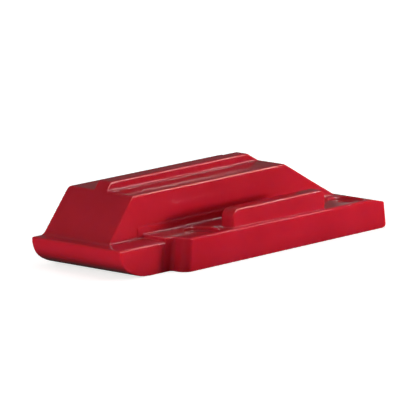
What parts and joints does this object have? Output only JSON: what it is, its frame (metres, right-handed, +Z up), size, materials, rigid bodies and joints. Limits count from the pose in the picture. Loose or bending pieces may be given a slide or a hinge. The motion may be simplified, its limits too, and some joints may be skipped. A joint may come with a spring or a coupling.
{
  "type": "flanged guide block",
  "caption": "Ramp-shaped guide block with an upturned nose, a rib along its top, a side rail and a screw flange with round head seats.",
  "frame": {"origin": "middle of the underside, at the level of the surface the block is screwed to", "axes": "+X along the block from the upturned nose to the tail, +Y from the screw flange to the straight side, +Z up out of the rib"},
  "size_m": [0.16, 0.056, 0.034],
  "materials": {
    "red_moulding": "glossy cast red moulding",
    "plate_steel": "rolled zinc-plated steel",
    "sleeve_steel": "turned zinc-plated steel"
  },
  "bodies": {
    "root": {"guide_body": "red_moulding", "backing_plate": "plate_steel", "front_sleeve": "sleeve_steel", "rear_sleeve": "sleeve_steel"}
  },
  "joints": []
}
